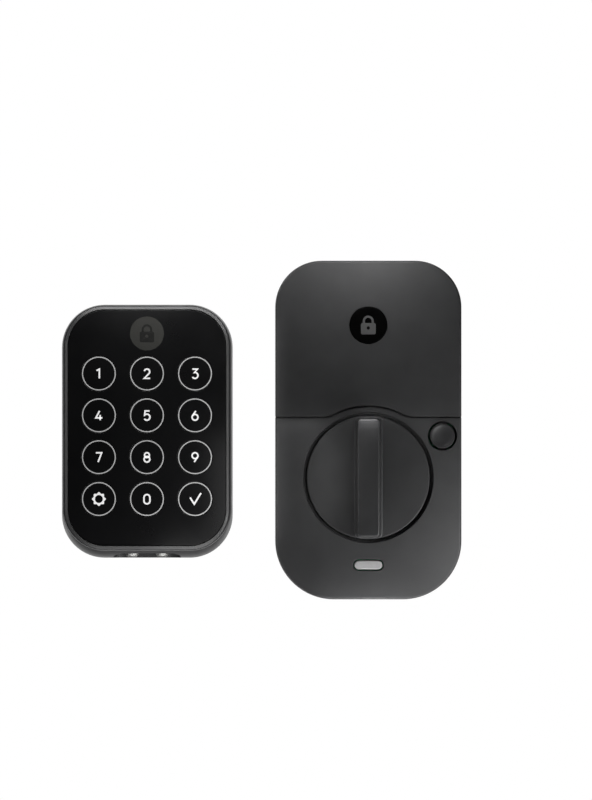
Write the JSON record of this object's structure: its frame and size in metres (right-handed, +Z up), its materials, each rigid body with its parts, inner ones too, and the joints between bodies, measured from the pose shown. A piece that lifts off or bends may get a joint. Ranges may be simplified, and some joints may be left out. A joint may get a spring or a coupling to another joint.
{
  "type": "keypad smart lock",
  "caption": "Keypad smart lock for a deadbolt: outside push-button keypad and inside motor module with thumbturn, sliding battery cover and privacy button, side by side.",
  "frame": {"origin": "centre of the inside module's back, on the door face that its mounting plate sits against", "axes": "+X to the right seen from the front, +Y into the door, +Z up; both units face -Y and the keypad unit lies 88.6 mm to the left of the inside module"},
  "size_m": [0.1601, 0.0914, 0.1352],
  "materials": {
    "keypad_shell": "satin black, fine texture",
    "lock_shell": "satin black, fine texture",
    "thumbturn_finish": "satin black",
    "gloss_panel": "polished black",
    "key_face": "polished black with pale ring and legend",
    "keypad_badge": "dark grey print",
    "cover_badge": "polished black",
    "status_lens": "milky lens",
    "clear_plastic": "clear",
    "circuit_board": "solder mask",
    "socket_plastic": "moulded ivory nylon",
    "chassis_plastic": "moulded black",
    "seal_rubber": "closed-cell foam rubber",
    "contact_metal": "nickel plated",
    "brass": "machined",
    "plated_steel": "zinc plated",
    "motor_can": "drawn steel can",
    "gear_plastic": "moulded acetal",
    "battery_wrap": "printed sleeve"
  },
  "bodies": {
    "lock": {"keypad_housing": "keypad_shell", "keypad_bezel": "keypad_shell", "front_panel": "gloss_panel", "keypad_badge": "keypad_badge", "light_guide": "clear_plastic", "dome_sheet": "clear_plastic", "keypad_circuit_board": "circuit_board", "contact_block": "chassis_plastic", "battery_contact_stud_left": "contact_metal", "battery_contact_stud_right": "contact_metal", "keypad_back_plate": "chassis_plastic", "keypad_seal": "seal_rubber", "mounting_post_left": "brass", "mounting_post_right": "brass", "keypad_cable_socket": "socket_plastic", "mounting_plate": "plated_steel", "interior_base": "chassis_plastic", "lower_cover": "lock_shell", "reduction_gear_pin": "plated_steel", "motor": "motor_can", "main_circuit_board": "circuit_board", "interior_cable_socket": "socket_plastic", "status_light": "status_lens", "battery_tray": "chassis_plastic", "battery_contact_1_minus": "contact_metal", "battery_contact_1_2": "contact_metal", "battery_contact_2_3": "contact_metal", "battery_contact_3_4": "contact_metal", "battery_contact_4_plus": "contact_metal", "network_module": "chassis_plastic", "battery_1": "battery_wrap", "battery_2": "battery_wrap", "battery_3": "battery_wrap", "battery_4": "battery_wrap", "module_screw_left": "plated_steel", "module_screw_right": "plated_steel"},
    "thumbturn": {"thumbturn": "thumbturn_finish", "drive_hub": "plated_steel", "knob_screw": "plated_steel", "main_gear": "gear_plastic", "tailpiece": "plated_steel"},
    "reduction_gear": {"reduction_gear": "gear_plastic"},
    "motor_pinion": {"motor_pinion": "brass"},
    "battery_cover": {"battery_cover": "lock_shell", "cover_badge": "cover_badge"},
    "privacy_button": {"privacy_button": "thumbturn_finish"},
    "key_1": {"key_1": "key_face"},
    "key_2": {"key_2": "key_face"},
    "key_3": {"key_3": "key_face"},
    "key_4": {"key_4": "key_face"},
    "key_5": {"key_5": "key_face"},
    "key_6": {"key_6": "key_face"},
    "key_7": {"key_7": "key_face"},
    "key_8": {"key_8": "key_face"},
    "key_9": {"key_9": "key_face"},
    "key_settings": {"key_settings": "key_face"},
    "key_0": {"key_0": "key_face"},
    "key_enter": {"key_enter": "key_face"}
  },
  "joints": [
    {"name": "thumbturn_turn", "type": "hinge", "parent": "lock", "child": "thumbturn", "pos_m": [0, -0.02, -0.01898], "axis": [0, -1, 0], "range_deg": [-90, 90]},
    {"name": "reduction_gear_turn", "type": "hinge", "parent": "lock", "child": "reduction_gear", "pos_m": [0.0125, -0.02, -0.04063], "axis": [0, -1, 0], "range_deg": [-360, 360]},
    {"name": "motor_pinion_turn", "type": "hinge", "parent": "lock", "child": "motor_pinion", "pos_m": [-0.00326, -0.018, -0.04341], "axis": [0, -1, 0], "range_deg": [-1080, 1080]},
    {"name": "battery_cover_slide", "type": "slide", "parent": "lock", "child": "battery_cover", "axis": [0, 0, 1], "range_m": [0, 0.066]},
    {"name": "privacy_button_press", "type": "slide", "parent": "lock", "child": "privacy_button", "axis": [0, 1, 0], "range_m": [0, 0.001], "stiffness_N_per_m": 1200, "springref_m": -0.0006},
    {"name": "key_1_press", "type": "slide", "parent": "lock", "child": "key_1", "axis": [0, 1, 0], "range_m": [0, 0.0008], "stiffness_N_per_m": 1500, "springref_m": -0.0006},
    {"name": "key_2_press", "type": "slide", "parent": "lock", "child": "key_2", "axis": [0, 1, 0], "range_m": [0, 0.0008], "stiffness_N_per_m": 1500, "springref_m": -0.0006},
    {"name": "key_3_press", "type": "slide", "parent": "lock", "child": "key_3", "axis": [0, 1, 0], "range_m": [0, 0.0008], "stiffness_N_per_m": 1500, "springref_m": -0.0006},
    {"name": "key_4_press", "type": "slide", "parent": "lock", "child": "key_4", "axis": [0, 1, 0], "range_m": [0, 0.0008], "stiffness_N_per_m": 1500, "springref_m": -0.0006},
    {"name": "key_5_press", "type": "slide", "parent": "lock", "child": "key_5", "axis": [0, 1, 0], "range_m": [0, 0.0008], "stiffness_N_per_m": 1500, "springref_m": -0.0006},
    {"name": "key_6_press", "type": "slide", "parent": "lock", "child": "key_6", "axis": [0, 1, 0], "range_m": [0, 0.0008], "stiffness_N_per_m": 1500, "springref_m": -0.0006},
    {"name": "key_7_press", "type": "slide", "parent": "lock", "child": "key_7", "axis": [0, 1, 0], "range_m": [0, 0.0008], "stiffness_N_per_m": 1500, "springref_m": -0.0006},
    {"name": "key_8_press", "type": "slide", "parent": "lock", "child": "key_8", "axis": [0, 1, 0], "range_m": [0, 0.0008], "stiffness_N_per_m": 1500, "springref_m": -0.0006},
    {"name": "key_9_press", "type": "slide", "parent": "lock", "child": "key_9", "axis": [0, 1, 0], "range_m": [0, 0.0008], "stiffness_N_per_m": 1500, "springref_m": -0.0006},
    {"name": "key_settings_press", "type": "slide", "parent": "lock", "child": "key_settings", "axis": [0, 1, 0], "range_m": [0, 0.0008], "stiffness_N_per_m": 1500, "springref_m": -0.0006},
    {"name": "key_0_press", "type": "slide", "parent": "lock", "child": "key_0", "axis": [0, 1, 0], "range_m": [0, 0.0008], "stiffness_N_per_m": 1500, "springref_m": -0.0006},
    {"name": "key_enter_press", "type": "slide", "parent": "lock", "child": "key_enter", "axis": [0, 1, 0], "range_m": [0, 0.0008], "stiffness_N_per_m": 1500, "springref_m": -0.0006}
  ],
  "couplings": [
    {"joint": "reduction_gear_turn", "follows": "thumbturn_turn", "ratio": -4},
    {"joint": "motor_pinion_turn", "follows": "thumbturn_turn", "ratio": 12}
  ]
}
